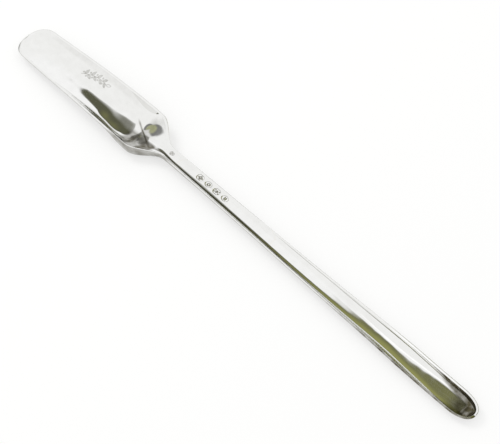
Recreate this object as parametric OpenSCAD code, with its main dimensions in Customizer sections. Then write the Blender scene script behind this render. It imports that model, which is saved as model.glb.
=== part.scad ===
// Double-ended marrow scoop: a broad scoop and a narrow scoop on one channelled stem.
// Lengths are in mm and angles in degrees. X runs from the broad tip to the narrow end, Z is up,
// and the scoop rests on Z = 0 with its middle over the origin.
// Inside the file a place along the scoop is s, counted from the broad tip.

/* [Whole scoop] */
// Length from the broad tip to the narrow end
overall_length = 225; // [215:1:240]
// Width of the rim's flat top edge on both scoops
rim_width = 0.8; // [0.6:0.05:1]
// Depth of the flats worn on the two backs where the scoop rests
wear_depth = 0.06; // [0.04:0.01:0.1]

/* [Broad scoop] */
// Length from the tip to the narrowest place of the neck
bowl_length = 79.5; // [75.5:0.5:83.5]
// Width at the heel end, the widest place
bowl_width = 19.6; // [18:0.1:21]
// Width where the rounded tip begins
bowl_tip_width = 16.6; // [15:0.1:17.5]
// Length of the rounded tip
tip_round = 7.4; // [6.5:0.1:9]
// Thickness of the sheet in the hollow
bowl_wall = 1.13; // [1:0.01:1.3]
// Height of the tip's rim above the rim of the narrow end
tip_rim_rise = 0.7; // [0.4:0.1:1]
// Height of the rim at its highest, before the heel, above the rim of the narrow end
bowl_rim_rise = 3.15; // [2.8:0.05:3.5]
// Length of the ogee shoulder from the full width to the neck
shoulder_length = 13; // [12:0.5:16]
// Extra length of the shoulder along the hollow, which thickens the rim there
shoulder_thick = 0.8; // [0.5:0.1:2]
// Fall of the rim's outer edge round the shoulder
shoulder_roll = 0.1; // [0:0.1:0.4]
// Squareness of the back's cross-section at the heel, where 1 is round
heel_square = 4.5; // [3:0.5:6]
// Squareness of the hollow's cross-section before the heel, where 1 is round
heel_hollow_square = 1.7; // [1.3:0.1:2.2]

/* [Stem] */
// Width at the neck
neck_width = 5.7; // [5:0.1:6.5]
// Thickness from the rim to the back at the neck
neck_depth = 3.2; // [2.8:0.1:3.6]
// Depth of the channel at the neck
neck_channel = 0.55; // [0.45:0.05:0.7]
// Height of the neck's rim above the rim of the narrow end
neck_rim_rise = 1.7; // [1.4:0.1:2]
// Width of the rim's flat top edge along the stem
stem_rim_width = 0.6; // [0.5:0.05:0.7]
// Squareness of the channel's cross-section, where 1 is round
stem_square = 2.4; // [1.8:0.2:3]

/* [Narrow scoop] */
// Width at the widest place
narrow_width = 9.8; // [9:0.1:11]
// Distance from the end back to the widest place
narrow_full = 30; // [24:1:40]
// Length of the rounded end
end_round = 9; // [7:0.5:11]
// Depth from the rim to the back
narrow_depth = 3.2; // [2.9:0.05:3.6]
// Thickness of the metal in the hollow
narrow_wall = 0.9; // [0.8:0.05:1.1]
// Squareness of the hollow's cross-section at the end, where 1 is round
end_square = 3.6; // [2:0.2:4]

/* [Joints] */
// Thickness of the hard solder in each joint
solder_gap = 0.12; // [0.1:0.01:0.2]
// Length of the scarf at each end of the stem
scarf_length = 9; // [7:0.5:10]
// Distance from the neck to the middle of the first scarf
scarf_offset = 2.5; // [2:0.5:4]
// Distance from the neck to the middle of the second scarf
stem_length = 55; // [50:1:62]

/* [Heel drop] */
// Length of the drop that strengthens the first joint on the back
drop_length = 19; // [17:0.5:21]
// Reach of the drop from the neck under the broad scoop
drop_reach = 5.5; // [4.5:0.5:6]
// Width of the drop at its rounded end
drop_width = 4.4; // [3.8:0.1:4.8]
// Thickness at the middle of the drop
drop_thick = 0.8; // [0.6:0.05:0.9]

/* [Struck marks] */
// Length of one plain struck cartouche
mark_length = 2.9; // [2.4:0.1:3.2]
// Distance between the middles of two cartouches
mark_pitch = 4.2; // [3.8:0.1:4.6]
// Distance from the neck to the middle of the first cartouche
mark_offset = 16; // [15.5:0.5:20]
// Distance of the cartouches from the middle of the channel towards its far side
mark_side = 1; // [0.4:0.1:1.1]
// Depth of the cartouches in the channel
mark_depth = 0.15; // [0.1:0.01:0.2]

/* [Hidden] */

silver = [0.86, 0.86, 0.84];
solder_silver = [0.8, 0.79, 0.74];
// Flat steps across each cross-section, over the back and again over the hollow
across = 20;
// Height of the narrow end's rim above the place where the backs rest
end_rim_height = 2.8;
// Lengths over which the backs and the narrow hollow rise to the two ends
back_run = 60;
end_back_run = 6;
end_hollow_run = 4.5;
// Fullness of the back's long rise and of the two ends in plan, where 2 is an ellipse
back_power = 1.3;
tip_power = 2.4;
end_power = 2.25;
// Extra thickness of the broad tip's edge
tip_edge = 0.4;
// Both backs rest on one plane, so the broad scoop's depth follows from the two rims
bowl_depth = narrow_depth + bowl_rim_rise - 0.51;
bowl_hollow = bowl_depth - bowl_wall;
narrow_hollow = narrow_depth - narrow_wall;
stem_run = overall_length - bowl_length;
narrow_start = overall_length - narrow_full;

function mix(a, b, t) = a + (b - a) * t;
function unit(t) = min(1, max(0, t));
function ease(t) = unit(t) * unit(t) * (3 - 2 * unit(t));
// An elliptical end: 0 at the edge, 1 from the given length inwards
function nose(u, length, power = 2) = pow(1 - pow(1 - unit(u / length), power), 1 / power);

// A smooth curve through a few [place, value] points
function slope(p, i) =
    let (a = max(0, i - 1), b = min(len(p) - 1, i + 1))
    (p[b][1] - p[a][1]) / (p[b][0] - p[a][0]);
function span(p, s, i = 0) = i >= len(p) - 2 || s < p[i + 1][0] ? i : span(p, s, i + 1);
function curve(p, s) =
    let (i = span(p, s), w = p[i + 1][0] - p[i][0], t = (s - p[i][0]) / w, r = 1 - t)
    p[i][1] * (1 + 2 * t) * r * r + slope(p, i) * w * t * r * r
    + p[i + 1][1] * t * t * (3 - 2 * t) - slope(p, i + 1) * w * t * t * r;

// Places along the bowl as shares of its length, and along the rest as shares of the stem's run
function on_bowl(share) = share * bowl_length;
function on_stem(share) = bowl_length + share * stem_run;

// Height of the rim's inner edge
function bowl_rise(share) = end_rim_height + mix(tip_rim_rise, bowl_rim_rise, share);
function neck_rise(share) = end_rim_height + share * neck_rim_rise;
rim_line = [
    [0, bowl_rise(0)],
    [on_bowl(0.11), bowl_rise(0.06)],
    [on_bowl(0.19), bowl_rise(0.23)],
    [on_bowl(0.27), bowl_rise(0.41)],
    [on_bowl(0.35), bowl_rise(0.6)],
    [on_bowl(0.45), bowl_rise(0.8)],
    [on_bowl(0.64), bowl_rise(1)],
    [on_bowl(0.74), bowl_rise(0.99)],
    [on_bowl(0.83), end_rim_height + mix(neck_rim_rise, bowl_rim_rise, 0.78)],
    [on_bowl(0.95), neck_rise(1)],
    [on_stem(0.05), neck_rise(0.86)],
    [on_stem(0.15), neck_rise(0.8)],
    [on_stem(0.3), neck_rise(0.62)],
    [on_stem(0.5), neck_rise(0.4)],
    [on_stem(0.7), neck_rise(0.42)],
    [on_stem(0.8), neck_rise(0.2)],
    [on_stem(0.88), neck_rise(0.02)],
    [overall_length, end_rim_height]];
function rim_z(s) = curve(rim_line, s);

// Height of the rim's outer edge, which rolls down round the shoulder
function roll(s) =
    let (rise = ease((s - on_bowl(0.8)) / on_bowl(0.1)), fall = ease((s - on_bowl(0.91)) / on_bowl(0.1)))
    shoulder_roll * rise * (1 - fall);
function edge_z(s) = rim_z(s) - roll(s);

// Half width of the outline, before its two ends are rounded
function bowl_half(s) =
    let (t = unit((s - tip_round) / (on_bowl(0.75) - tip_round)))
    mix(bowl_tip_width, bowl_width, 1 - pow(1 - t, 1.5)) / 2;
function stem_half(s) =
    let (t = unit((s - bowl_length) / (narrow_start - bowl_length)))
    mix(neck_width, narrow_width, pow(t, 1.4)) / 2;
function side_half(s, shoulder) =
    mix(bowl_half(s), stem_half(s), ease((s - bowl_length + shoulder) / shoulder));
function out_half(s) =
    side_half(s, shoulder_length)
    * nose(s, tip_round, tip_power)
    * nose(overall_length - s, end_round, end_power);

// Half width of the hollow inside the rim
rim_widths = [[0, rim_width], [on_bowl(0.8), rim_width], [on_bowl(1.02), stem_rim_width],
    [on_stem(0.3), stem_rim_width], [narrow_start, rim_width], [overall_length, rim_width]];
function in_half(s) =
    (side_half(s, shoulder_length + shoulder_thick) - curve(rim_widths, s))
    * nose(s - rim_width, tip_round - rim_width, tip_power)
    * nose(overall_length - rim_width - s, end_round - rim_width, end_power);

// Depth of the back below the rim
out_line = [
    [0, bowl_depth],
    [on_bowl(0.5), bowl_depth],
    [on_bowl(0.73), bowl_depth],
    [on_bowl(0.83), 0.955 * bowl_depth],
    [on_bowl(0.885), 0.84 * bowl_depth],
    [on_bowl(0.925), 0.71 * bowl_depth],
    [on_bowl(0.98), neck_depth],
    [on_stem(0.08), 0.94 * neck_depth],
    [on_stem(0.31), 0.86 * neck_depth],
    [on_stem(0.55), 0.92 * narrow_depth],
    [on_stem(0.72), narrow_depth],
    [on_stem(0.8), 0.95 * narrow_depth],
    [on_stem(0.88), 0.87 * narrow_depth],
    [overall_length, 0.85 * narrow_depth]];
function out_depth(s) =
    let (rise = nose(s, back_run, back_power))
    (curve(out_line, s) * rise + tip_edge * nose(s, tip_round) * (1 - rise))
    * nose(overall_length - s, end_back_run);

// Depth of the hollow below the rim
in_line = [
    [rim_width, 0],
    [on_bowl(0.115), 0.093 * bowl_hollow],
    [on_bowl(0.25), 0.338 * bowl_hollow],
    [on_bowl(0.375), 0.545 * bowl_hollow],
    [on_bowl(0.48), 0.685 * bowl_hollow],
    [on_bowl(0.565), 0.793 * bowl_hollow],
    [on_bowl(0.655), 0.914 * bowl_hollow],
    [on_bowl(0.74), bowl_hollow],
    [on_bowl(0.785), bowl_hollow],
    [on_bowl(0.81), 0.91 * bowl_hollow],
    [on_bowl(0.84), 0.68 * bowl_hollow],
    [on_bowl(0.88), 0.42 * bowl_hollow],
    [on_bowl(0.93), 0.22 * bowl_hollow],
    [bowl_length, 1.25 * neck_channel],
    [on_stem(0.08), neck_channel],
    [on_stem(0.31), mix(neck_channel, narrow_hollow, 0.07)],
    [on_stem(0.5), mix(neck_channel, narrow_hollow, 0.32)],
    [on_stem(0.62), mix(neck_channel, narrow_hollow, 0.66)],
    [on_stem(0.75), narrow_hollow],
    [on_stem(0.88), 0.88 * narrow_hollow],
    [overall_length, 0.88 * narrow_hollow]];
function in_depth(s) = curve(in_line, s) * nose(overall_length - rim_width - s, end_hollow_run);

// How far each cross-section bends round, from the middle of the back or hollow to the rim
out_bends = [[0, 60], [on_bowl(0.5), 62], [on_bowl(0.7), 70], [on_bowl(0.79), 86], [on_bowl(0.91), 88],
    [on_bowl(1.02), 88], [on_stem(0.31), 84], [on_stem(0.82), 72], [overall_length, 68]];
in_bends = [[0, 50], [on_bowl(0.5), 58], [on_bowl(0.77), 64], [on_bowl(0.92), 58], [on_stem(0.08), 60],
    [on_stem(0.82), 66], [on_stem(0.92), 60], [overall_length, 60]];
// How square each cross-section is, where 1 is part of an ellipse
out_squares = [[0, 1], [on_bowl(0.62), 1], [on_bowl(0.74), mix(1, heel_square, 0.5)],
    [on_bowl(0.81), heel_square], [on_bowl(0.89), heel_square], [on_bowl(0.97), mix(1, heel_square, 0.2)],
    [on_stem(0.08), 1], [overall_length, 1]];
in_squares = [[0, 1], [on_bowl(0.58), 1], [on_bowl(0.72), heel_hollow_square],
    [on_bowl(0.79), mix(1, heel_hollow_square, 0.5)], [on_bowl(0.86), 0.9], [on_bowl(0.95), 0.9],
    [on_stem(0.08), stem_square], [on_stem(0.4), stem_square], [on_stem(0.6), mix(1, stem_square, 0.5)],
    [on_stem(0.75), mix(1, end_square, 0.08)], [on_stem(0.85), mix(1, end_square, 0.35)],
    [on_stem(0.91), mix(1, end_square, 0.88)], [overall_length, end_square]];

// One point of a cross-section: q runs from -1 at the near rim to 1 at the far rim
function arc_point(s, q, bend, square, half, top, depth) =
    [s, sign(q) * half * pow(sin(abs(q) * bend) / sin(bend), 1 / square),
        top - depth * (cos(q * bend) - cos(bend)) / (1 - cos(bend))];
function back_point(s, q) =
    arc_point(s, q, curve(out_bends, s), curve(out_squares, s), out_half(s), edge_z(s),
        out_depth(s) - roll(s));
function hollow_point(s, q) =
    arc_point(s, q, curve(in_bends, s), curve(in_squares, s), in_half(s), rim_z(s), in_depth(s));

// Places of the cross-sections, closer together where the shape turns quickly
tip_steps = [for (i = [1:9]) tip_round * (1 - cos(10 * i))];
hollow_steps = [for (i = [1:15]) mix(tip_round, on_bowl(0.76), i / 15)];
heel_steps = [for (i = [1:34]) mix(on_bowl(0.76), on_stem(0.06), i / 34)];
stem_steps = [for (i = [1:36]) mix(on_stem(0.06), overall_length - end_round, i / 36)];
end_steps = [for (i = [1:9]) overall_length - end_round * (1 - sin(10 * i - 1))];
places = concat(tip_steps, hollow_steps, heel_steps, stem_steps, end_steps);
// Near the two ends the hollow's cross-sections are drawn in by the rim's width
function hollow_place(s) =
    let (from_end = overall_length - s)
    s < tip_round ? mix(rim_width, tip_round, s / tip_round)
    : from_end < end_round ? overall_length - mix(rim_width, end_round, from_end / end_round)
    : s;
rest_z = min([for (s = places) rim_z(s) - out_depth(s)]) + wear_depth;

// A closed body between two places: its back, its hollow, its two rims and its two ends.
// An end at a tip closes on one point of the back and one of the hollow, any other end is cut flat.
module body(from, to) {
    row = [for (s = places) if (s >= from && s <= to) s];
    n = len(row);
    k = 2 * across + 2;
    rings = [for (s = row) each concat(
        [for (j = [0:across]) back_point(s, 2 * j / across - 1)],
        [for (j = [0:across]) hollow_point(hollow_place(s), 1 - 2 * j / across)])];
    tips = [back_point(0, 0), hollow_point(rim_width, 0),
        back_point(overall_length, 0), hollow_point(overall_length - rim_width, 0)];
    sides = [for (i = [0:n - 2]) for (j = [0:k - 1]) each
        let (a = i * k + j, b = i * k + (j + 1) % k) [[a, b + k, b], [a, a + k, b + k]]];
    t = n * k;
    e = (n - 1) * k;
    tip_faces = concat(
        [for (j = [0:across - 1]) [t, j, j + 1]],
        [for (j = [across + 1:k - 2]) [t + 1, j, j + 1]],
        [[t, across, t + 1], [t + 1, across, across + 1], [t, t + 1, 0], [t + 1, k - 1, 0]]);
    end_faces = concat(
        [for (j = [0:across - 1]) [t + 2, e + j + 1, e + j]],
        [for (j = [across + 1:k - 2]) [t + 3, e + j + 1, e + j]],
        [[t + 2, t + 3, e + across], [t + 3, e + across + 1, e + across]],
        [[t + 2, e, t + 3], [t + 3, e, e + k - 1]]);
    cut = [for (j = [0:across - 1]) each [[j, j + 1, k - 2 - j], [j, k - 2 - j, k - 1 - j]]];
    first = from <= 0 ? tip_faces : cut;
    last = to >= overall_length ? end_faces : [for (f = cut) [e + f[2], e + f[1], e + f[0]]];
    polyhedron(concat(rings, tips), concat(sides, first, last));
}

// Everything before a scarf: a block whose end slopes through the middle of the stem at the given place.
// The slope is the run of s for each mm of height, and shift moves the end along the scoop.
module before(place, slope, shift = 0) {
    mid_z = rim_z(place) - out_depth(place) / 2;
    low = -20;
    high = 30;
    rotate([90, 0, 0])
        linear_extrude(height = 2 * bowl_width, center = true)
            polygon([
                [-overall_length, low],
                [place + slope * (low - mid_z) + shift, low],
                [place + slope * (high - mid_z) + shift, high],
                [-overall_length, high]]);
}

// The two scarfs: each scoop laps onto the stem from above
bowl_scarf = bowl_length + scarf_offset;
bowl_slope = scarf_length / out_depth(bowl_scarf);
bowl_shift = solder_gap * sqrt(1 + bowl_slope * bowl_slope);
stem_scarf = bowl_length + stem_length;
stem_slope = -scarf_length / out_depth(stem_scarf);
stem_shift = solder_gap * sqrt(1 + stem_slope * stem_slope);

// Block under the plane on which the scoop rests
module under_rest(from, to) {
    translate([from, -bowl_width, rest_z - 5])
        cube([to - from, 2 * bowl_width, 5]);
}

module in_frame() {
    translate([-overall_length / 2, 0, -rest_z])
        children();
}

module broad_scoop() {
    color(silver)
        in_frame()
            difference() {
                intersection() {
                    body(0, bowl_scarf + scarf_length);
                    before(bowl_scarf, bowl_slope);
                }
                under_rest(on_bowl(0.5), on_bowl(0.92));
            }
}

module narrow_scoop() {
    color(silver)
        in_frame()
            difference() {
                body(stem_scarf - scarf_length, overall_length);
                before(stem_scarf, stem_slope, stem_shift);
                under_rest(on_stem(0.6), on_stem(0.98));
            }
}

// Plain cartouches, sunk in the channel as if by punches
module cartouche(i) {
    w = mark_length / 2;
    h = 0.75 * w;
    c = 0.4 * w;
    if (i % 2 == 0)
        polygon([
            [c - w, -h], [w - c, -h], [w, c - h], [w, h - c],
            [w - c, h], [c - w, h], [-w, h - c], [-w, c - h]]);
    else
        circle(r = h, $fn = 40);
}

module stem() {
    color(silver)
        in_frame()
            difference() {
                intersection() {
                    body(bowl_scarf - scarf_length, stem_scarf + scarf_length);
                    before(stem_scarf, stem_slope);
                }
                before(bowl_scarf, bowl_slope, bowl_shift);
                for (i = [0:3])
                    let (s = bowl_length + mark_offset + i * mark_pitch)
                    translate([s, mark_side, rim_z(s) - in_depth(s) - mark_depth])
                        linear_extrude(height = 5)
                            cartouche(i);
            }
}

module bowl_joint_solder() {
    color(solder_silver)
        in_frame()
            difference() {
                intersection() {
                    body(bowl_scarf - scarf_length, bowl_scarf + scarf_length);
                    before(bowl_scarf, bowl_slope, bowl_shift);
                }
                before(bowl_scarf, bowl_slope);
            }
}

module stem_joint_solder() {
    color(solder_silver)
        in_frame()
            difference() {
                intersection() {
                    body(stem_scarf - scarf_length, stem_scarf + scarf_length);
                    before(stem_scarf, stem_slope, stem_shift);
                }
                before(stem_scarf, stem_slope);
            }
}

// The drop covers the first scarf's edge on the back, with its rounded end under the broad scoop
drop_from = bowl_length - drop_reach;
function drop_half(s) =
    let (u = (s - drop_from) / drop_length)
    mix(drop_width, 0.45 * drop_width, ease(u)) / 2 * nose(u, 0.2) * nose(1 - u, 0.15);
function drop_at(s, y) =
    let (w = max(0.1, drop_half(s)), edge = 0.25 * drop_thick)
    edge + (drop_thick - edge) * unit(1 - y * y / (w * w)) * nose(s - drop_from, drop_length / 2);
module drop_outline() {
    steps = 40;
    half = [for (i = [0:steps])
        let (s = drop_from + drop_length * (1 - cos(180 * i / steps)) / 2) [s, drop_half(s)]];
    polygon(concat(half, [for (i = [steps - 1:-1:1]) [half[i][0], -half[i][1]]]));
}

// A layer under the back: it begins at one depth below it and is as thick as stated, or as the drop
module layer(top, thick) {
    row = [for (s = places) if (s > drop_from - 2 && s < drop_from + drop_length + 2) s];
    n = len(row);
    skip = 3;
    m = across - 2 * skip + 1;
    grid = [for (s = row) for (j = [skip:across - skip]) back_point(s, 2 * j / across - 1)];
    upper = [for (p = grid) p - [0, 0, top]];
    lower = [for (p = grid) p - [0, 0, top + (is_undef(thick) ? drop_at(p[0], p[1]) : thick)]];
    k = n * m;
    cells = [for (i = [0:n - 2]) for (j = [0:m - 2]) i * m + j];
    upper_faces = [for (a = cells) each [[a, a + 1, a + m + 1], [a, a + m + 1, a + m]]];
    lower_faces = [for (f = upper_faces) [k + f[2], k + f[1], k + f[0]]];
    rim_path = concat([for (j = [0:m - 1]) j], [for (i = [1:n - 1]) i * m + m - 1],
        [for (j = [m - 2:-1:0]) (n - 1) * m + j], [for (i = [n - 2:-1:1]) i * m]);
    r = len(rim_path);
    walls = [for (i = [0:r - 1]) each
        let (a = rim_path[i], b = rim_path[(i + 1) % r]) [[a, a + k, b + k], [a, b + k, b]]];
    polyhedron(concat(upper, lower), concat(upper_faces, lower_faces, walls));
}

module heel_drop() {
    color(silver)
        in_frame()
            intersection() {
                layer(solder_gap);
                linear_extrude(height = 20, center = true)
                    drop_outline();
            }
}

module drop_solder() {
    color(solder_silver)
        in_frame()
            intersection() {
                layer(0, solder_gap);
                linear_extrude(height = 20, center = true)
                    drop_outline();
            }
}

broad_scoop();
stem();
narrow_scoop();
heel_drop();
bowl_joint_solder();
stem_joint_solder();
drop_solder();
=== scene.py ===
# %% [markdown]
# A double-ended marrow scoop in polished silver: a broad scoop for large bones, a narrow scoop for small
# ones, and a channelled stem between them. The CAD solids give every piece its place, so the first step
# loads them.

# %% Load the CAD frame
import math
import bpy
import numpy as np
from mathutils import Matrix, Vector


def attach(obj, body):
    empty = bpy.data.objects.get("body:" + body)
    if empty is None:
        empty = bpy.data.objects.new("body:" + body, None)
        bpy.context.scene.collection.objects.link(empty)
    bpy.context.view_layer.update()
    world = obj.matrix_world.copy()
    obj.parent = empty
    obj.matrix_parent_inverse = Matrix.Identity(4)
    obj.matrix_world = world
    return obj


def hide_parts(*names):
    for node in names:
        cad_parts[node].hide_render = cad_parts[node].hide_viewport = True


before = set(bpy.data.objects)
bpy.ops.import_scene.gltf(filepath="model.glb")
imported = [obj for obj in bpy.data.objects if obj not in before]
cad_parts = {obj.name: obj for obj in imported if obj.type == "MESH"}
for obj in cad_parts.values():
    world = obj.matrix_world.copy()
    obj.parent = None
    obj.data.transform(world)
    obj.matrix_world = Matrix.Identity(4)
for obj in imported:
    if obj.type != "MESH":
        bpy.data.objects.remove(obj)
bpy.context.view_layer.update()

scene = bpy.context.scene
scene.view_settings.view_transform = "Standard"

# %% [markdown]
# The camera comes first, because everything is judged through it. It stands half a metre away, 46 degrees
# round from the scoop's near side and 55 degrees up, so the scoop runs across the picture from the broad tip
# at the upper left to the narrow end at the lower right.

# %% Camera
def direction(azimuth, elevation):
    a, e = math.radians(azimuth), math.radians(elevation)
    return Vector((math.sin(a) * math.cos(e), -math.cos(a) * math.cos(e), math.sin(e)))

camera_distance = 0.5
to_camera = direction(46, 54.9)
aim = Vector((0.0088, 0.0005, 0.00314))
camera = bpy.data.objects.new("camera", bpy.data.cameras.new("camera"))
camera.data.sensor_width = 36
camera.data.lens = 103.75
camera.location = aim + to_camera * camera_distance
camera.rotation_mode = "QUATERNION"
camera.rotation_quaternion = (-to_camera).to_track_quat("-Z", "Y")
scene.collection.objects.link(camera)
scene.camera = camera
print("camera at", [round(c, 3) for c in camera.location])

# %% [markdown]
# A silversmith sees this shape as a few lines along the scoop: the height of the rim, the half width of the
# outline and of the hollow, and the depths of the back and of the hollow. These sizes are the same as in the
# solids, in millimetres. Modelling by formula keeps every reflection clean, which hand-moved points would
# not.

# %% Sizes in millimetres
length, rim_width, stem_rim_width = 225.0, 0.8, 0.6
bowl_length, bowl_width, bowl_tip_width, tip_round = 79.5, 19.6, 16.6, 7.4
bowl_wall, tip_rim_rise, bowl_rim_rise = 1.13, 0.7, 3.15
shoulder_length, shoulder_thick, shoulder_roll = 13.0, 0.8, 0.1
neck_width, neck_depth, neck_channel, neck_rim_rise = 5.7, 3.2, 0.55, 1.7
narrow_width, narrow_full, end_round, narrow_depth, narrow_wall = 9.8, 30.0, 9.0, 3.2, 0.9
end_rim, wear_depth, tip_edge = 2.8, 0.06, 0.4
tip_power, end_power, bowl_flare, stem_flare = 2.4, 2.25, 1.5, 1.4
back_run, back_power, end_back_run, end_hollow_run = 60.0, 1.3, 6.0, 4.5
heel_square, heel_hollow_square, stem_square, end_square = 4.5, 1.7, 2.4, 3.6
narrow_rest_rise = 0.51
bowl_depth = narrow_depth + bowl_rim_rise - narrow_rest_rise
bowl_hollow, narrow_hollow = bowl_depth - bowl_wall, narrow_depth - narrow_wall
narrow_start = length - narrow_full
print("bowl", round(bowl_depth, 2), "mm deep outside and", round(bowl_hollow, 2), "mm inside")

# %% [markdown]
# Each line is a smooth curve through a few measured places, with s counted from the broad tip. The helpers
# mix two values, ease from 0 to 1, hold a value along a stretch, and round off an end like a nose.

# %% Smooth curves
def mix(a, b, t):
    return a + (b - a) * t

def ease(t):
    t = np.clip(t, 0, 1)
    return t * t * (3 - 2 * t)

def band(s, start, run, stop, fade):
    """1 along a stretch: it eases in over the run after start, and out over the fade after stop."""
    return ease((s - start) / run) * (1 - ease((s - stop) / fade))

def nose(u, run, power=2.0):
    return (1 - (1 - np.clip(u / run, 0, 1)) ** power) ** (1 / power)

def on_bowl(share):
    return share * bowl_length

def on_stem(share):
    return mix(bowl_length, length, share)

def curve(points, s):
    """A smooth curve through [place, value] points."""
    x, y = np.array(points, float).T
    slope = np.gradient(y, np.arange(len(y))) / np.gradient(x, np.arange(len(x)))
    i = np.clip(np.searchsorted(x, s, side="right") - 1, 0, len(x) - 2)
    w = x[i + 1] - x[i]
    t = (s - x[i]) / w
    r = 1 - t
    return (y[i] * (1 + 2 * t) * r * r + slope[i] * w * t * r * r
            + y[i + 1] * t * t * (3 - 2 * t) - slope[i + 1] * w * t * t * r)

print("the stem's middle lies at", on_stem(0.5), "mm")

# %% [markdown]
# These are the measured places. Places and heights are shares of the bowl's and the stem's own sizes, so
# that a longer bowl or a deeper hollow keeps its form. A bend is the angle of the arc across the scoop, and
# a square of more than 1 makes that arc flatter in its middle.

# %% Lines along the scoop
def bowl_rise(share):
    return end_rim + mix(tip_rim_rise, bowl_rim_rise, share)

def neck_rise(share):
    return end_rim + share * neck_rim_rise

rim_line = [
    (0, bowl_rise(0)), (on_bowl(0.11), bowl_rise(0.06)), (on_bowl(0.19), bowl_rise(0.23)),
    (on_bowl(0.27), bowl_rise(0.41)), (on_bowl(0.35), bowl_rise(0.6)), (on_bowl(0.45), bowl_rise(0.8)),
    (on_bowl(0.64), bowl_rise(1)), (on_bowl(0.74), bowl_rise(0.99)),
    (on_bowl(0.83), end_rim + mix(neck_rim_rise, bowl_rim_rise, 0.78)), (on_bowl(0.95), neck_rise(1)),
    (on_stem(0.05), neck_rise(0.86)), (on_stem(0.15), neck_rise(0.8)), (on_stem(0.3), neck_rise(0.62)),
    (on_stem(0.5), neck_rise(0.4)), (on_stem(0.7), neck_rise(0.42)), (on_stem(0.8), neck_rise(0.2)),
    (on_stem(0.88), neck_rise(0.02)), (length, end_rim)]
out_line = [
    (0, bowl_depth), (on_bowl(0.5), bowl_depth), (on_bowl(0.73), bowl_depth),
    (on_bowl(0.83), 0.955 * bowl_depth), (on_bowl(0.885), 0.84 * bowl_depth),
    (on_bowl(0.925), 0.71 * bowl_depth), (on_bowl(0.98), neck_depth),
    (on_stem(0.08), 0.94 * neck_depth), (on_stem(0.31), 0.86 * neck_depth),
    (on_stem(0.55), 0.92 * narrow_depth),
    (on_stem(0.72), narrow_depth), (on_stem(0.8), 0.95 * narrow_depth), (on_stem(0.88), 0.87 * narrow_depth),
    (length, 0.85 * narrow_depth)]
in_line = [
    (rim_width, 0), (on_bowl(0.115), 0.093 * bowl_hollow), (on_bowl(0.25), 0.338 * bowl_hollow),
    (on_bowl(0.375), 0.545 * bowl_hollow), (on_bowl(0.48), 0.685 * bowl_hollow),
    (on_bowl(0.565), 0.793 * bowl_hollow), (on_bowl(0.655), 0.914 * bowl_hollow),
    (on_bowl(0.74), bowl_hollow), (on_bowl(0.785), bowl_hollow),
    (on_bowl(0.81), 0.91 * bowl_hollow), (on_bowl(0.84), 0.68 * bowl_hollow),
    (on_bowl(0.88), 0.42 * bowl_hollow), (on_bowl(0.93), 0.22 * bowl_hollow),
    (bowl_length, 1.25 * neck_channel),
    (on_stem(0.08), neck_channel), (on_stem(0.31), mix(neck_channel, narrow_hollow, 0.07)),
    (on_stem(0.5), mix(neck_channel, narrow_hollow, 0.32)),
    (on_stem(0.62), mix(neck_channel, narrow_hollow, 0.66)),
    (on_stem(0.75), narrow_hollow), (on_stem(0.88), 0.88 * narrow_hollow), (length, 0.88 * narrow_hollow)]
rim_widths = [
    (0, rim_width), (on_bowl(0.8), rim_width), (on_bowl(1.02), stem_rim_width),
    (on_stem(0.3), stem_rim_width), (narrow_start, rim_width), (length, rim_width)]
out_bends = [
    (0, 60), (on_bowl(0.5), 62), (on_bowl(0.7), 70), (on_bowl(0.79), 86), (on_bowl(0.91), 88),
    (on_bowl(1.02), 88), (on_stem(0.31), 84), (on_stem(0.82), 72), (length, 68)]
in_bends = [
    (0, 50), (on_bowl(0.5), 58), (on_bowl(0.77), 64), (on_bowl(0.92), 58), (on_stem(0.08), 60),
    (on_stem(0.82), 66), (on_stem(0.92), 60), (length, 60)]
out_squares = [
    (0, 1), (on_bowl(0.62), 1), (on_bowl(0.74), mix(1, heel_square, 0.5)), (on_bowl(0.81), heel_square),
    (on_bowl(0.89), heel_square), (on_bowl(0.97), mix(1, heel_square, 0.2)), (on_stem(0.08), 1), (length, 1)]
in_squares = [
    (0, 1), (on_bowl(0.58), 1), (on_bowl(0.72), heel_hollow_square),
    (on_bowl(0.79), mix(1, heel_hollow_square, 0.5)), (on_bowl(0.86), 0.9), (on_bowl(0.95), 0.9),
    (on_stem(0.08), stem_square), (on_stem(0.4), stem_square), (on_stem(0.6), mix(1, stem_square, 0.5)),
    (on_stem(0.75), mix(1, end_square, 0.08)),
    (on_stem(0.85), mix(1, end_square, 0.35)), (on_stem(0.91), mix(1, end_square, 0.88)),
    (length, end_square)]
print(len(rim_line), "places on the rim,", len(out_line), "on the back and", len(in_line), "in the hollow")

# %% [markdown]
# From the lines come the outline, seen from above, and the two depths. The shoulder eases from the bowl's
# width to the stem's, and both ends are rounded. The lowest place of the back, less a little wear, is where
# the scoop rests.

# %% Outline and depths
def rim_z(s):
    return curve(rim_line, s)

def roll(s):
    return shoulder_roll * band(s, on_bowl(0.8), on_bowl(0.1), on_bowl(0.91), on_bowl(0.1))

def side_half(s, shoulder):
    t = np.clip((s - tip_round) / (on_bowl(0.75) - tip_round), 0, 1)
    bowl = mix(bowl_tip_width, bowl_width, 1 - (1 - t) ** bowl_flare) / 2
    t = np.clip((s - bowl_length) / (narrow_start - bowl_length), 0, 1)
    stem = mix(neck_width, narrow_width, t ** stem_flare) / 2
    return mix(bowl, stem, ease((s - bowl_length + shoulder) / shoulder))

def out_half(s):
    return (side_half(s, shoulder_length) * nose(s, tip_round, tip_power)
            * nose(length - s, end_round, end_power))

def in_half(s):
    return ((side_half(s, shoulder_length + shoulder_thick) - curve(rim_widths, s))
            * nose(s - rim_width, tip_round - rim_width, tip_power)
            * nose(length - rim_width - s, end_round - rim_width, end_power))

def out_depth(s):
    rise = nose(s, back_run, back_power)
    depth = curve(out_line, s) * rise + tip_edge * nose(s, tip_round) * (1 - rise)
    return depth * nose(length - s, end_back_run)

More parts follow.
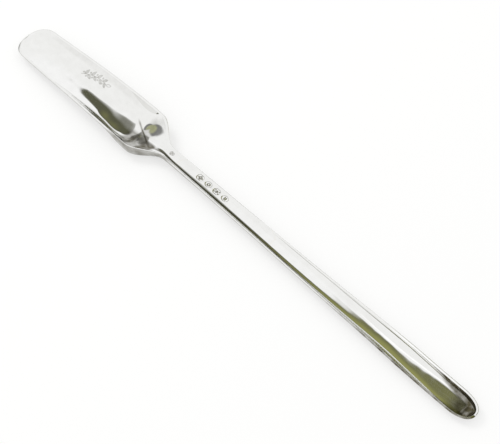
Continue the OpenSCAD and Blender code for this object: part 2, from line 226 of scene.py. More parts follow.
def in_depth(s):
    return curve(in_line, s) * nose(length - rim_width - s, end_hollow_run)

all_along = np.linspace(0, length, 900)
rest_z = (rim_z(all_along) - out_depth(all_along)).min() + wear_depth
shown = np.array([0, on_bowl(0.5), bowl_length, length])
print("rim heights at tip, bowl, neck, end:", np.round(rim_z(shown) - rest_z, 2))

# %% [markdown]
# Across the scoop every section is part of an ellipse, made squarer at the heel and along the stem, once for
# the back and once for the hollow. Written as a height over the plan, both can be sampled wherever the mesh
# needs a point. The two backs are worn flat where the scoop has lain on tables. Hammered silver is never
# quite even: the hollow keeps shallow waves of a few thousandths of a millimetre, the channel and the bowl's
# floor lean by two degrees, and the rims lean more. That is enough to make a reflection wander.

# %% Back and hollow as heights over the plan
channel_lean, floor_lean, rim_lean, shoulder_lean = 0.035, 0.034, 0.16, 0.25
bowl_waves, end_waves = 0.001, 0.0025

def share_of(y, half):
    """How far out a place lies: 0 in the middle, -1 on the near edge and 1 on the far edge."""
    return y / np.maximum(half, 1e-9)

def arc_height(y, bend, square, half, top, depth):
    b = np.radians(bend)
    turn = np.arcsin(np.clip(np.abs(share_of(y, half)), 0, 1) ** square * np.sin(b))
    return top - depth * (np.cos(turn) - np.cos(b)) / (1 - np.cos(b))

def back_z(x, y):
    """The back, with its far edge raised and its near edge lowered so that the rim leans."""
    half = out_half(x)
    lean = rim_lean + shoulder_lean * band(x, 56, 8, 74, 8)
    raised = lean * curve(rim_widths, x) * np.tanh(4 * share_of(y, half)) - roll(x)
    top, depth = rim_z(x) + raised, out_depth(x) + raised
    return np.maximum(arc_height(y, curve(out_bends, x), curve(out_squares, x), half, top, depth), rest_z)

def waves(x, y):
    """What is left of the hammer's marks: shallow waves, 6 to 11 mm long."""
    height = mix(bowl_waves, end_waves, ease((x - 130) / 40))
    return height * (np.sin(x / 0.9 + 1.7 * np.sin(x / 4.1)) * np.cos(y / 1.3 + x / 6)
                     + 0.7 * np.sin(x / 1.7 - y / 1.1 + 2 * np.sin(y / 3)))

def bare_hollow(x, y):
    """The hollow before anything is cut into it."""
    half = in_half(x)
    across = np.clip(1 - share_of(y, half) ** 2, 0, 1)
    lean = channel_lean * band(x, 74, 10, 150, 25) - floor_lean * band(x, 50, 5, 59, 4)
    z = arc_height(y, curve(in_bends, x), curve(in_squares, x), half, rim_z(x), in_depth(x))
    return z + (lean * y + waves(x, y) * ease((x - 20) / 30)) * across ** 2

print("wall at the middle of the bowl:", round(float(bare_hollow(40.0, 0.0) - back_z(40.0, 0.0)), 2), "mm")

# %% [markdown]
# An engraver cut a small laurel sprig into the far side of the bowl. A graver leaves a V-shaped line: here
# each line is a curve, and the metal sinks by its distance to the nearest one. The leaves are pairs of arcs
# along a bent stalk, with a few berries between them.

# %% Engraved sprig
def bend_line(a, b, bow, count=24):
    """Points along an arc from a to b that bows out to the left."""
    a, b = np.array(a, float), np.array(b, float)
    t = np.linspace(0, 1, count)[:, None]
    left = np.array([a[1] - b[1], b[0] - a[0]])
    return a + (b - a) * t + left * bow * 4 * t * (1 - t)

stalk = bend_line((28.2, 2.6), (39.4, 5.2), 0.1, 60)
leaf_feet = [6, 13, 20, 27, 34, 41, 48, 53]
leaf_forward, leaf_out, leaf_taper, leaf_bow, vein_share = 1.5, 1.75, 0.07, 0.2, 0.75
berry_back, berry_out, berry_radius, last_leaf = 0.5, 0.8, 0.24, (2.0, 0.6)
sprig_start, sprig_end, sprig_side = 26, 43, 8.5
cut_half, cut_depth = 0.19, 0.045
strokes = [stalk]
for number, place in enumerate(leaf_feet):
    foot, along = stalk[place], stalk[place + 2] - stalk[place]
    along /= np.linalg.norm(along)
    out = np.array([-along[1], along[0]]) * (-1) ** number
    tip = foot + leaf_forward * along + (leaf_out - leaf_taper * number) * out
    strokes += [bend_line(foot, tip, bow) for bow in (leaf_bow, -leaf_bow)]
    strokes.append(bend_line(foot, mix(foot, tip, vein_share), 0))
    berry = foot - berry_back * along + berry_out * out
    ring = np.linspace(0, 2 * np.pi, 16)[:, None]
    strokes.append(berry + berry_radius * np.concatenate([np.cos(ring), np.sin(ring)], 1))
strokes += [bend_line(stalk[-1], stalk[-1] + last_leaf, bow) for bow in (leaf_bow, -leaf_bow)]
strokes = np.concatenate(strokes)

def engraving(x, y):
    """Depth of the graver's cut, worked out only near the sprig."""
    depth = np.zeros(np.broadcast(x, y).shape)
    x, y = np.broadcast_to(x, depth.shape), np.broadcast_to(y, depth.shape)
    near = (x > sprig_start) & (x < sprig_end) & (y > 0) & (y < sprig_side)
    if near.any():
        gap = [np.hypot(x[near] - a, y[near] - b) for a, b in strokes]
        depth[near] = cut_depth * np.clip(1 - np.min(gap, axis=0) / cut_half, 0, 1)
    return depth

print("sprig of", len(strokes), "points")

# %% [markdown]
# Four plain cartouches are struck in a row in the channel, as punches leave them: an even floor with a steep
# edge, and a small raised device of pellets, a ring, a lozenge or bars inside. One more, rubbed nearly away,
# lies closer to the bowl. Each outline is written as a distance from its edge, negative inside.

# %% Struck marks
mark_length, mark_pitch, mark_offset, mark_side, mark_depth = 2.9, 4.2, 16.0, 1.0, 0.15
first_mark, mark_half = bowl_length + mark_offset, mark_length / 2
mark_half_width, mark_corner = 0.75 * mark_half, 0.4 * mark_half
punch_edge, floor_inset, device_inset, device_height = 0.14, 0.09, 0.06, 0.8
pellet_out, pellet_side, pellet_radius = 0.65, 0.5, 0.34
ring_radius, ring_half = 0.52, 0.14
lozenge_reach, corner_pellet_out, corner_pellet_radius = 0.62, 0.95, 0.2
bar_out, bar_half, bar_reach = 0.3, 0.15, 0.6
worn_place, worn_half, worn_half_width, worn_depth = bowl_length + 1.1, 1.15, 0.85, 0.03

def cartouche(number, u, v):
    """A rectangle with its corners cut off, or an oval, by turns."""
    if number % 2:
        return mark_half_width * (np.hypot(u / mark_half, v / mark_half_width) - 1)
    slant = (u + v - mark_half - mark_half_width + mark_corner) / math.sqrt(2)
    return np.maximum(np.maximum(u - mark_half, v - mark_half_width), slant)

def device(number, u, v):
    """Four pellets, a ring, a lozenge among pellets, or two bars."""
    if number == 0:
        return np.minimum(np.hypot(u - pellet_out, v), np.hypot(u, v - pellet_side)) - pellet_radius
    if number == 1:
        return np.abs(np.hypot(u, v) - ring_radius) - ring_half
    if number == 2:
        lozenge = (u + v - lozenge_reach) / math.sqrt(2)
        return np.minimum(lozenge, np.hypot(u - corner_pellet_out, v - pellet_side) - corner_pellet_radius)
    return np.maximum(np.abs(u - bar_out) - bar_half, v - bar_reach)

def struck(x, y, z):
    """The hollow's heights with the punches' floors and devices in them."""
    for number in range(4):
        u, v = np.abs(x - first_mark - number * mark_pitch), np.abs(y - mark_side)
        raised = device_height * (1 - ease((device(number, u, v) + device_inset) / punch_edge))
        floor = 1 - ease((cartouche(number, u, v) + floor_inset) / punch_edge)
        z = z - mark_depth * (1 - raised) * floor
    worn = np.hypot((x - worn_place) / worn_half, (y - mark_side) / worn_half_width)
    return z - worn_depth * (1 - ease((worn - 0.75) / 0.3)) * (0.6 + 0.4 * np.sin(5 * x) * np.cos(6 * y))

def hollow_z(x, y):
    return struck(x, y, bare_hollow(x, y) - engraving(x, y))

first_depth = float(bare_hollow(first_mark, mark_side) - hollow_z(first_mark, mark_side))
print("first cartouche", round(first_depth, 3), "mm deep")

# %% [markdown]
# The mesh follows the metal: its lines run out from the middle of the back, up the side, over the rim and
# down into the middle of the hollow. They cross the scoop squarely, fan out round both rounded ends, and lean
# over near the two soldered joints so that each piece ends exactly on its sloping joint. A grid of this kind
# has no poles on the rim, where a pole would show in the reflections.

# %% Grid lines
scarf_length, solder_gap = 9.0, 0.12
joint_reach, least_step = 14.0, 0.12
bowl_scarf, stem_scarf = bowl_length + 2.5, bowl_length + 55
bowl_slope = scarf_length / float(out_depth(bowl_scarf))
stem_slope = -scarf_length / float(out_depth(stem_scarf))
joints = [
    (bowl_scarf, bowl_slope, bowl_scarf + solder_gap * math.hypot(1, bowl_slope)),
    (stem_scarf, stem_slope, stem_scarf + solder_gap * math.hypot(1, stem_slope))]

# Each run has a start, an end and a step, which is finest on the sprig and the struck marks
runs = [
    (tip_round, 25, 0.45), (25, 42, 0.13), (42, 60, 0.35), (60, 79, 0.22), (79, 93, 0.17),
    (93, 112, 0.08), (112, 195, 0.45), (195, length - end_round, 0.3)]
stations = [np.linspace(a, b, round((b - a) / step), endpoint=False) for a, b, step in runs]
stations = np.concatenate(stations + [[length - end_round]])
cuts = np.array([place for first, _, second in joints for place in (first, second)])
keep = np.abs(stations[:, None] - cuts).min(1) > least_step
stations = np.sort(np.concatenate([stations[keep], cuts]))

lean, middle = np.zeros(len(stations)), np.zeros(len(stations))
for first, slope, second in joints:
    off = np.maximum(np.abs(stations - (first + second) / 2) - (second - first) / 2, 0)
    weight = 1 - ease(off / joint_reach)
    lean += slope * weight
    middle += np.where(weight > 0, rim_z(first) - out_depth(first) / 2, 0)
print(len(stations), "lines along the scoop on each side")

# %% [markdown]
# Each line is now filled with points. The edge where the back meets the hollow is a rounded rim, drawn as a
# Bezier curve that leaves the back and enters the hollow along their own slopes, because a smith finishes
# such a rim with a file and a burnisher until it feels round.

# %% Points on every line
back_shares = 1 - (1 - np.linspace(0, 1, 31)) ** 1.6
hollow_shares = 1 - (1 - np.linspace(0, 1, 57)) ** 1.25
rim_steps = np.linspace(0, 1, 12)[1:-1]
near_rim = 1 - 0.4 * np.linspace(0, 1, 60) ** 1.5
rim_trim = 0.07

def trimmed(points_at, reach):
    """The share at which each line is still the given reach away from its rim."""
    points = points_at(near_rim[None, :])
    run = np.cumsum(np.linalg.norm(np.diff(points, axis=1), axis=-1), axis=1)
    return np.array([np.interp(reach, np.append(0, r), near_rim) for r in run])[:, None]

def wrap(back_at, hollow_at):
    """Lines from the middle of the back, over the rounded rim, to the middle of the hollow."""
    out_end, in_end = trimmed(back_at, rim_trim), trimmed(hollow_at, rim_trim)
    back, hollow = back_at(out_end * back_shares), hollow_at(in_end * hollow_shares[::-1])
    edge, lip = back_at(np.ones((1, 1))), hollow_at(np.ones((1, 1)))
    t = rim_steps[None, :, None]
    r = 1 - t
    rim = (r ** 5 * back[:, -1:] + (5 * t * r ** 4 + 10 * t ** 2 * r ** 3) * edge
           + (10 * t ** 3 * r ** 2 + 5 * t ** 4 * r) * lip + t ** 5 * hollow[:, :1])
    return np.concatenate([back, rim, hollow], axis=1)

def straight(side):
    """The lines of one side between the two rounded ends."""
    def at(half, height):
        def points(share):
            x = stations[:, None] + 0 * share
            for _ in range(12):
                y = side * share * half(x)
                z = height(x, y)
                x = stations[:, None] + lean[:, None] * (z - middle[:, None])
            return np.stack([x, y, z], -1)
        return points
    return wrap(at(out_half, back_z), at(in_half, hollow_z))

def fan(centre, tip, turns):
    """The lines round one end, from its centre to the rim."""
    def at(half, height, inset):
        edge_x = tip + np.sign(centre - tip) * inset
        rim_x = edge_x + (centre - edge_x) * (1 - np.cos(turns))
        rim_y = np.sign(turns) * half(rim_x)
        def points(share):
            x = centre + share * (rim_x - centre)[:, None]
            y = share * rim_y[:, None]
            return np.stack([x, y, height(x, y)], -1)
        return points
    return wrap(at(out_half, back_z, 0), at(in_half, hollow_z, rim_width))

turns = np.radians(np.linspace(90, -90, 121)[1:-1])
near, far = straight(-1), straight(1)
lines = np.concatenate([far[::-1], fan(tip_round, 0, turns), near, fan(length - end_round, length, -turns)])
print("grid of", lines.shape[0], "lines with", lines.shape[1], "points")

# %% [markdown]
# Each point first gets two numbers: how much dark film lies on it, and how far use has rubbed it bright. The
# open floor of the bowl and the middle of the rims stay clear. Real tarnish lies in the cut lines and partly
# on the back. On the back, at the heel and the corner before it, along a line on the stem, inside the narrow
# end and on the edges of the rims, the film is painted dark reflection of the dim room and painted shade. It
# draws the form where bright silver alone would be white.

# %% Tarnish, painted reflection and wear
# The back's share is partly tarnish and partly painted dark reflection of the shaded floor
back_tarnish_and_painted_reflection, full_cut = 0.55, 0.14
count, width = lines.shape[:2]
points = lines.reshape(-1, 3)
x, y, z = points.T
place = np.broadcast_to(np.arange(width), (count, width)).ravel()
on_back, on_hollow = place < len(back_shares), place >= width - len(hollow_shares)
over_rim = (place - len(back_shares) + 1) / (len(rim_steps) + 1)
near_side, share = y < 0, y / np.maximum(out_half(x), 0.5)

# In the hollows: masks from 0 to 1, placed in millimetres along the scoop and across it. Except in the
# cut lines, they are painted dark reflection of the dim room and painted shade, not tarnish.
slope = (bare_hollow(x + 0.2, y) - bare_hollow(x - 0.2, y)) / 0.4
heel_painted_reflection = ease((slope - 0.1) / 0.3) * band(x, 58, 5, 69, 5)
near_wall_painted_reflection = band(x, 59.5, 2.5, 64.5, 2) * ease((0.6 - y) / 2)
heel_corner_painted_reflection = band(x, 64.5, 2, 73.5, 1.5) * ease((-0.6 - y) / 1.2) * mix(0.3, 0.85, ease((x - 68.5) / 2))
crease_painted_shade = band(x, 58, 3, 71, 3) * (1 - ease(np.abs((x - 65.5) * 0.53 + y - 0.6) / 0.6))
line_share = np.interp(x, [75, 79, 84, 120, 130, 140, 150],
                       [-0.42, -0.38, -0.52, -0.52, -0.6, -0.68, -0.66])
stem_painted_reflection_line = band(x, 72, 4, 135, 30) * (1 - ease(np.abs(share - line_share) / 0.2))
# Painted dark reflection inside the narrow end
end = ease((x - 213 + 8 * ease((share - 0.3) / 0.5) + 3 * ease((-share - 0.3) / 0.5)) / 6)
sunk = np.clip((bare_hollow(x, y) - z) / full_cut, 0, 1)
in_cuts = np.where(x < 60, 2.0 * sunk, 4 * sunk * (1 - sunk))
# Painted dark reflection on the lips: the dim room seen in their steep inner edges
lip = 1 - ease((in_half(x) - np.abs(y)) / 0.5)
lip = lip * np.where(near_side, 0.8 * ease((x - 140) / 40), 0.6 * ease((x - 200) / 12))
far_rim_painted_reflection = band(x, 5, 6, 52, 8) * (1 - ease((in_half(x) - y - 1.2) / 1.2))
film_and_painted_reflection = sum(weight * patch for weight, patch in [
    (0.3, heel_painted_reflection), (0.72, near_wall_painted_reflection), (1, heel_corner_painted_reflection), (0.7, crease_painted_shade), (0.75, stem_painted_reflection_line), (0.9, end),
    (0.95, in_cuts), (1, lip), (0.07, far_rim_painted_reflection)])

# On the back and over the rims. The back's even grey is partly tarnish and partly painted dark reflection
# of the shaded floor. The darker side by the heel and the dark outer edges of the rims are painted dark
# reflection.
heel_side_painted_reflection = band(x, 56, 6, 80, 6) * ease(-y / 2)
back_film_and_painted_reflection = back_tarnish_and_painted_reflection + 0.08 * heel_side_painted_reflection
edge_painted_reflection = np.where(near_side, 0.45 + 0.4 * ease((x - 140) / 40),
                     np.where(x < 70, 0.2, 0.5 * ease((x - 205) / 10)))
side_painted_reflection = np.maximum(0.62 * heel_side_painted_reflection, 0.8 * ease((x - 150) / 40) * near_side)
outer, broad = np.clip(1.8 - 4 * over_rim, 0, 1), np.clip(3.2 - 4 * over_rim, 0, 1)
rim_painted_reflection = np.maximum(outer * edge_painted_reflection, broad * side_painted_reflection)
dull_and_painted_reflection = np.where(on_back, back_film_and_painted_reflection, np.where(on_hollow, np.clip(film_and_painted_reflection, 0, 1), rim_painted_reflection))
worn = np.where(on_back | on_hollow, 0.0, 1.0)
print(round(100 * float((dull_and_painted_reflection > 0.3).mean())), "percent of the points keep a film")

# %% [markdown]
# All points that coincide along the middle become one, the faces are made, and the smooth surface direction
# is worked out once for the whole scoop. Only then is it divided at the joints. A reflection therefore runs
# on across a joint that was filed flush, as it does on the real thing.

# %% Faces and smooth directions
_, first_of, same = np.unique(np.round(points, 6), axis=0, return_index=True, return_inverse=True)
points, same = points[first_of], same.reshape(count, width)
dull_and_painted_reflection, worn = dull_and_painted_reflection[first_of], worn[first_of]
after = np.roll(same, -1, axis=0)
quads = np.stack([same[:, :-1], after[:, :-1], after[:, 1:], same[:, 1:]], -1)
a, b, c, d = (points[quads[..., corner]] for corner in range(4))
spread = np.cross(c - a, d - b)
volume = (points[quads].mean(2) * spread).sum() / 6
if volume < 0:
    quads, spread, volume = quads[..., ::-1], -spread, -volume
smooth = np.zeros_like(points)
for corner in range(4):
    np.add.at(smooth, quads[..., corner].ravel(), spread.reshape(-1, 3))
smooth /= np.linalg.norm(smooth, axis=1, keepdims=True)
print("silver in the scoop:", round(float(volume), 1), "cubic mm")

# %% [markdown]
# The grid is cut at the two joints into the bowl, the stem and the narrow scoop, with a thin film of solder
# between each pair. Flat faces close every piece on its joints, so it is still a solid when it is taken away
# from the others.

# %% Pieces between the joints
side_lines = len(stations)
between = (stations[:-1] + stations[1:]) / 2
order = ["broad_scoop", "bowl_joint_solder", "stem", "stem_joint_solder", "narrow_scoop"]
part_of = np.searchsorted(cuts, between)
strip_part = np.concatenate([
    part_of[::-1], np.zeros(len(turns) + 1, int), part_of, np.full(len(turns) + 1, 4)])

def into_frame(p):
    """From millimetres along the scoop to metres in the frame."""
    return (p - [length / 2, 0, rest_z]) / 1000

def clean_faces(quads):
    """Faces without doubled corners, and none that has shrunk to a line."""
    faces = [list(dict.fromkeys(quad)) for quad in quads.tolist()]
    return [face for face in faces if len(face) > 2]

def add_piece(name, faces, caps):
    """One closed piece of the scoop, with the smooth directions worked out above."""
    used = sorted({i for f in faces + caps for i in f})
    local = {g: i for i, g in enumerate(used)}
    mesh = bpy.data.meshes.new(name)
    mesh.from_pydata(into_frame(points[used]).tolist(), [], [[local[i] for i in f] for f in faces + caps])
    mesh.polygons.foreach_set("use_smooth", [True] * len(faces) + [False] * len(caps))
    mesh.update()
    flat = [(0.0, 0.0, 0.0)] * sum(len(f) for f in caps)
    mesh.normals_split_custom_set([tuple(smooth[i]) for f in faces for i in f] + flat)
    for label, values in (("tarnish_and_painted_reflection", dull_and_painted_reflection), ("wear", worn)):
        mesh.attributes.new(label, "FLOAT", "POINT").data.foreach_set("value", values[used])
    piece = bpy.data.objects.new("silver_" + name, mesh)
    scene.collection.objects.link(piece)
    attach(piece, "root")
    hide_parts(name)
    return piece

def cap_at(place, outward):
    """The flat faces that close a piece on a joint, one for each side of the scoop."""
    i = int(np.abs(stations - place).argmin())
    found = []
    for ring in (same[side_lines - 1 - i], same[side_lines + len(turns) + i]):
        p = points[ring]
        turn = np.cross(p, np.roll(p, -1, axis=0)).sum(0)[0]
        found.append(ring.tolist() if turn * outward > 0 else ring[::-1].tolist())
    return found

pieces = {}
for number, name in enumerate(order):
    faces = clean_faces(quads[strip_part == number].reshape(-1, 4))
    caps = cap_at(cuts[number - 1], -1) if number > 0 else []
    caps += cap_at(cuts[number], 1) if number < 4 else []
    pieces[name] = add_piece(name, faces, caps)
    print(name, len(faces), "faces")

# %% [markdown]
# On the back a drop of silver lies over the joint at the heel. It was cut from sheet, domed, and soldered on
# to stiffen the place where the thumb presses. Its solder shows as a thin line round it.

# %% Heel drop
drop_from, drop_length, drop_width, drop_thick = bowl_length - 5.5, 19.0, 4.4, 0.8
drop_taper, drop_front, drop_tail = 0.45, 0.2, 0.15

def drop_half(s):
    u = (s - drop_from) / drop_length
    return drop_width * mix(1, drop_taper, ease(u)) / 2 * nose(u, drop_front) * nose(1 - u, drop_tail)

def lens(name, start, crown):
    """A thin closed piece under the back: it starts at one depth below it and is as thick as the crown."""
    u = drop_from + drop_length * (1 - np.cos(np.linspace(0, np.pi, 81))) / 2
    v = np.sin(np.linspace(-np.pi / 2, np.pi / 2, 41))
    x, v = np.meshgrid(u, v, indexing="ij")
    y = v * drop_half(x)
    top = back_z(x, y) - start
    low = top - crown(x, v)
    both = np.stack([np.stack([x, y, top], -1), np.stack([x, y, low], -1)])
    flat = both.reshape(-1, 3)
    _, first_of, same = np.unique(np.round(flat, 6), axis=0, return_index=True, return_inverse=True)
    same = same.reshape(both.shape[:3])
    faces = []
    for side, sheet in enumerate(same):
        quads = np.stack([sheet[:-1, :-1], sheet[1:, :-1], sheet[1:, 1:], sheet[:-1, 1:]], -1).reshape(-1, 4)
        faces += clean_faces(quads if side == 0 else quads[:, ::-1])
    mesh = bpy.data.meshes.new(name)
    mesh.from_pydata(into_frame(flat[first_of]).tolist(), [], faces)
    mesh.polygons.foreach_set("use_smooth", [True] * len(faces))
    mesh.update()
    # The drop takes the back's film, partly tarnish and partly painted dark reflection
    tarnish_and_painted_reflection = mesh.attributes.new("tarnish_and_painted_reflection", "FLOAT", "POINT")
    tarnish_and_painted_reflection.data.foreach_set("value", np.full(len(first_of), back_tarnish_and_painted_reflection))
    piece = bpy.data.objects.new("silver_" + name, mesh)
    scene.collection.objects.link(piece)
    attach(piece, "root")
    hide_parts(name)
    return piece

def drop_crown(x, v):
    return drop_thick * np.sqrt(1 - np.abs(v) ** 2.4) * mix(0.25, 1, nose(x - drop_from, drop_length / 2))

def solder_crown(x, v):
    return solder_gap * np.sqrt(1 - v ** 6)

pieces["heel_drop"] = lens("heel_drop", solder_gap, drop_crown)
pieces["drop_solder"] = lens("drop_solder", 0, solder_crown)
print("heel drop of", len(pieces["heel_drop"].data.polygons), "faces")

# %% [markdown]
# Colours are written as the sRGB hex values that a painter would pick, and one function turns them to the
# linear light that the renderer adds up. Another small function adds a node with its settings and its links.

# %% Colours and nodes
def linear(hex_colour):
    """An sRGB hex colour as linear light, with alpha."""
    parts = [int(hex_colour[i:i + 2], 16) / 255 for i in (1, 3, 5)]
    return [c / 12.92 if c <= 0.04045 else ((c + 0.055) / 1.055) ** 2.4 for c in parts] + [1.0]

def add_node(tree, kind, inputs=None, **settings):
    """A node of the given kind, with its settings, and with values or links on its inputs."""
    node = tree.nodes.new(kind)
    for name, value in settings.items():
        setattr(node, name, value)
    for socket, value in (inputs or {}).items():
        if isinstance(value, bpy.types.NodeSocket):
            tree.links.new(value, node.inputs[socket])
        else:
            node.inputs[socket].default_value = value
    return node

def new_material(name):
    material = bpy.data.materials.new(name)
    material.use_nodes = True
    material.node_tree.nodes.clear()
    return material, material.node_tree

print("middle grey in linear light:", round(linear("#808080")[0], 3))

# %% [markdown]
# Sterling silver, buffed and then used for years: a bright, nearly neutral metal. Fine scratches run along
# the scoop, where it was wiped. The rims are rubbed bright by use. A dark olive-grey is mixed in by each
# point's film number: real tarnish in the struck and engraved lines and partly on the back, and painted dark
# reflection and painted shade on the back, in the corners of the hollows, along the stem and in the narrow
# end. The solder is a little yellower and duller, because it holds more copper and zinc.

# %% Silver and solder
scratch_length, scratch_gap, patch_size, scratch_depth = 12.5, 1 / 1.4, 1 / 0.33, 0.0015
scuff_roughness, tarnish_roughness, rub_roughness = 0.04, 0.12, -0.02

def polished(name, clean, tarnish_and_reflection_colour, base_roughness):
    """A buffed metal with wiping scratches, a dark coat that is partly real oxide and partly painted dark
    reflection, and rims rubbed bright.
    """
    material, tree = new_material(name)
    at = add_node(tree, "ShaderNodeTexCoord").outputs["Object"]
    # These scratches are ten times coarser than real ones, which would be too fine to see
    per_metre = [1000 / scratch_length, 1000 / scratch_gap, 1000 / scratch_gap]
    along = add_node(tree, "ShaderNodeMapping", {"Vector": at, "Scale": per_metre})
    scratches = add_node(tree, "ShaderNodeTexNoise", {
        "Vector": along.outputs[0], "Scale": 1.0, "Detail": 4.0, "Roughness": 0.6})
    # The film, both tarnish and painted reflection, varies in patches of about 3 mm
    patches = add_node(tree, "ShaderNodeTexNoise", {"Vector": at, "Scale": 1000 / patch_size, "Detail": 3.0})
    film_and_painted_reflection = add_node(tree, "ShaderNodeAttribute", attribute_name="tarnish_and_painted_reflection")
    rubbed = add_node(tree, "ShaderNodeAttribute", attribute_name="wear")
    uneven = add_node(tree, "ShaderNodeMapRange", {
        "Value": patches.outputs["Fac"], "From Min": 0.3, "From Max": 0.7, "To Min": 0.75, "To Max": 1.2})
    amount = add_node(tree, "ShaderNodeMath", {0: film_and_painted_reflection.outputs["Fac"], 1: uneven.outputs[0]},
                      operation="MULTIPLY", use_clamp=True)
    hazy = add_node(tree, "ShaderNodeMapRange", {
        "Value": patches.outputs["Fac"], "From Min": 0.35, "From Max": 0.65, "To Min": 0.0, "To Max": 0.035})
    both = add_node(tree, "ShaderNodeMath", {0: amount.outputs[0], 1: hazy.outputs[0]}, operation="ADD",
                    use_clamp=True)
    colour = add_node(tree, "ShaderNodeMix", {
        "Factor": both.outputs[0], 6: linear(clean), 7: linear(tarnish_and_reflection_colour)}, data_type="RGBA")
    scuffed = add_node(tree, "ShaderNodeMapRange", {
        "Value": scratches.outputs["Fac"], "From Min": 0.35, "From Max": 0.7,
        "To Min": base_roughness, "To Max": base_roughness + scuff_roughness})
    dulled = add_node(tree, "ShaderNodeMath", {
        0: amount.outputs[0], 1: tarnish_roughness, 2: scuffed.outputs[0]}, operation="MULTIPLY_ADD")
    bright = add_node(tree, "ShaderNodeMath", {
        0: rubbed.outputs["Fac"], 1: rub_roughness, 2: dulled.outputs[0]}, operation="MULTIPLY_ADD")
    grain = add_node(tree, "ShaderNodeBump", {
        "Height": scratches.outputs["Fac"], "Distance": scratch_depth / 1000, "Strength": 1.0})
    shader = add_node(tree, "ShaderNodeBsdfPrincipled", {
        "Base Color": colour.outputs[2], "Metallic": 1.0, "Roughness": bright.outputs[0],
        "Normal": grain.outputs[0]})
    add_node(tree, "ShaderNodeOutputMaterial", {"Surface": shader.outputs["BSDF"]})
    return material

silver = polished("sterling_silver_buffed", "#f5f5f4", "#57523f", 0.04)
solder = polished("silver_solder_filed_flush", "#f4f3ef", "#5d563e", 0.06)
for name, piece in pieces.items():
    piece.data.materials.append(solder if "solder" in name else silver)
print("materials:", silver.name, "and", solder.name)

# %% [markdown]
# The scoop lies on a sheet of white card. Card is matt and even, so it takes only a soft shadow. To the
# camera, and in the metal, most of its white is given as its own light, as in a picture whose background is
# exposed to clear white. The scoop itself gets no light from that.

# %% White card floor
floor_reach, own_light = 3.0, 0.6
floor_mesh = bpy.data.meshes.new("floor")
floor_corners = [(-floor_reach, -floor_reach, 0), (floor_reach, -floor_reach, 0),
                 (floor_reach, floor_reach, 0), (-floor_reach, floor_reach, 0)]
floor_mesh.from_pydata(floor_corners, [], [(0, 1, 2, 3)])
floor = bpy.data.objects.new("floor", floor_mesh)
scene.collection.objects.link(floor)
card, tree = new_material("white_card_matt")
path = add_node(tree, "ShaderNodeLightPath")
seen = add_node(tree, "ShaderNodeMath", {0: path.outputs["Is Camera Ray"], 1: path.outputs["Is Glossy Ray"]},
                operation="MAXIMUM")
glow = add_node(tree, "ShaderNodeMath", {0: seen.outputs[0], 1: own_light}, operation="MULTIPLY")
matt = add_node(tree, "ShaderNodeBsdfDiffuse", {"Color": linear("#fbfbf9")})
clear = add_node(tree, "ShaderNodeEmission", {"Color": linear("#ffffff"), "Strength": 1.0})
both = add_node(tree, "ShaderNodeMixShader", {0: glow.outputs[0], 1: matt.outputs[0], 2: clear.outputs[0]})
add_node(tree, "ShaderNodeOutputMaterial", {"Surface": both.outputs[0]})
floor_mesh.materials.append(card)
print("floor of", card.name)

# %% [markdown]
# A polished scoop has almost no colour of its own: it shows the room. Here the room is a white tent that is
# open on the right, where the dim olive room shows. Small grey and olive cards stand at the back on the left,
# and a brighter panel hangs overhead. Each of them is a set of directions with a soft edge, painted over the
# white.

# %% What the metal reflects
overhead_white, overhead_from = 1.12, 74.5
lintel_height, lintel_end, opening_edge, olive_edge = 56, -0.13, 0.589, 0.492
world = bpy.data.worlds.new("studio")
scene.world = world
world.use_nodes = True
tree = world.node_tree
tree.nodes.clear()
way = add_node(tree, "ShaderNodeTexCoord").outputs["Generated"]

def beyond(normal, limit, soft):
    """1 where the direction reaches past the limit along the normal, 0 before it."""
    along = add_node(tree, "ShaderNodeVectorMath", {0: way, 1: normal}, operation="DOT_PRODUCT")
    return add_node(tree, "ShaderNodeMapRange", {
        "Value": along.outputs["Value"], "From Min": limit - soft, "From Max": limit + soft},
        interpolation_type="SMOOTHSTEP").outputs[0]

def all_of(masks):
    """1 only where every mask is 1."""
    total = masks[0]
    for mask in masks[1:]:
        total = add_node(tree, "ShaderNodeMath", {0: total, 1: mask}, operation="MULTIPLY").outputs[0]
    return total

def window(left, right, low, high, soft=0.03):
    """A card between two azimuths and two elevations, in degrees."""
    a, b = math.radians(left), math.radians(right)
    return all_of([
        beyond((math.cos(a), math.sin(a), 0), 0, soft), beyond((-math.cos(b), -math.sin(b), 0), 0, soft),
        beyond((0, 0, 1), math.sin(math.radians(low)), soft),
        beyond((0, 0, -1), -math.sin(math.radians(high)), soft)])

def disc(azimuth, elevation, radius, soft):
    """A round card, with its place and its radius in degrees."""
    return beyond(direction(azimuth, elevation), math.cos(math.radians(radius)), soft)

def paint(below, over, mask):
    """One colour over another where the mask is 1."""
    return add_node(tree, "ShaderNodeMix", {"Factor": mask, 6: below, 7: over}, data_type="RGBA").outputs[2]

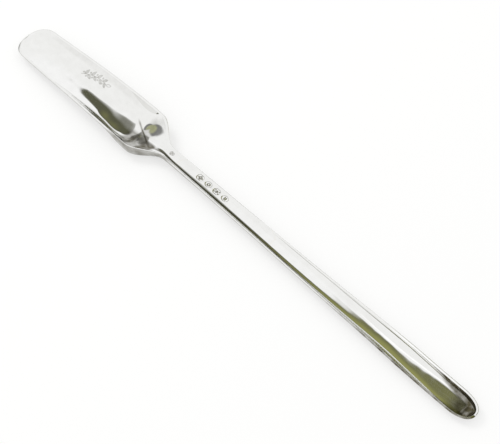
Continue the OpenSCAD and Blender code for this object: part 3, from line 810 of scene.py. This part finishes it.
far_right, opening = (0.645, 0.639, 0.419), (0.386, 0.671, 0.633)
above = beyond((0, 0, 1), 0.025, 0.025)
turn = math.radians(198.5)
lintel = add_node(tree, "ShaderNodeMath", {
    0: beyond((0, 0, -1), -math.sin(math.radians(lintel_height)), 0.012),
    1: beyond((-math.cos(turn), -math.sin(turn), 0), lintel_end, 0.02)}, operation="MAXIMUM").outputs[0]
room = paint(linear("#5a5a48"), linear("#94945c"), beyond(far_right, olive_edge, 0.11))
sight = paint(linear("#ffffff"), room, all_of([beyond(opening, opening_edge, 0.008), lintel, above]))
sight = paint(sight, linear("#f9f9f8"), disc(300, 30, 55, 0.1))
sight = paint(sight, linear("#95948e"), window(228, 248, 8, 30))
sight = paint(sight, linear("#888886"), disc(268, 31, 13, 0.008))
sight = paint(sight, linear("#babc97"), disc(266, 22, 9.5, 0.008))
panel = beyond((0, 0, 1), math.sin(math.radians(overhead_from)), 0.005)
sight = paint(sight, [overhead_white] * 3 + [1], panel)
print("surroundings of", len(tree.nodes), "nodes")

# %% [markdown]
# Only the metal sees that room. The matt floor is lit by an even white, the camera sees clear white behind
# everything, and a large soft lamp at the far left lays the faint shadow under the narrow end.

# %% Even light and lamp
lamp_way, lamp_distance, lamp_size, lamp_watts = direction(-88, 42), 1.2, 0.5, 3.6
even_white = 0.88
path = add_node(tree, "ShaderNodeLightPath")
reflected = add_node(tree, "ShaderNodeBackground", {"Color": sight, "Strength": 1.0})
even = add_node(tree, "ShaderNodeBackground", {"Color": linear("#ffffff"), "Strength": even_white})
clear = add_node(tree, "ShaderNodeBackground", {"Color": linear("#ffffff"), "Strength": 1.0})
lit = add_node(tree, "ShaderNodeMixShader", {
    0: path.outputs["Is Glossy Ray"], 1: even.outputs[0], 2: reflected.outputs[0]})
seen = add_node(tree, "ShaderNodeMixShader", {
    0: path.outputs["Is Camera Ray"], 1: lit.outputs[0], 2: clear.outputs[0]})
add_node(tree, "ShaderNodeOutputWorld", {"Surface": seen.outputs[0]})

lamp = bpy.data.objects.new("soft_lamp", bpy.data.lights.new("soft_lamp", "AREA"))
lamp.data.shape, lamp.data.size, lamp.data.energy = "DISK", lamp_size, lamp_watts
lamp.location = lamp_way * lamp_distance
lamp.rotation_mode = "QUATERNION"
lamp.rotation_quaternion = lamp_way.to_track_quat("Z", "Y")
lamp.visible_glossy = False
scene.collection.objects.link(lamp)
print("lamp at", [round(c, 2) for c in lamp.location])
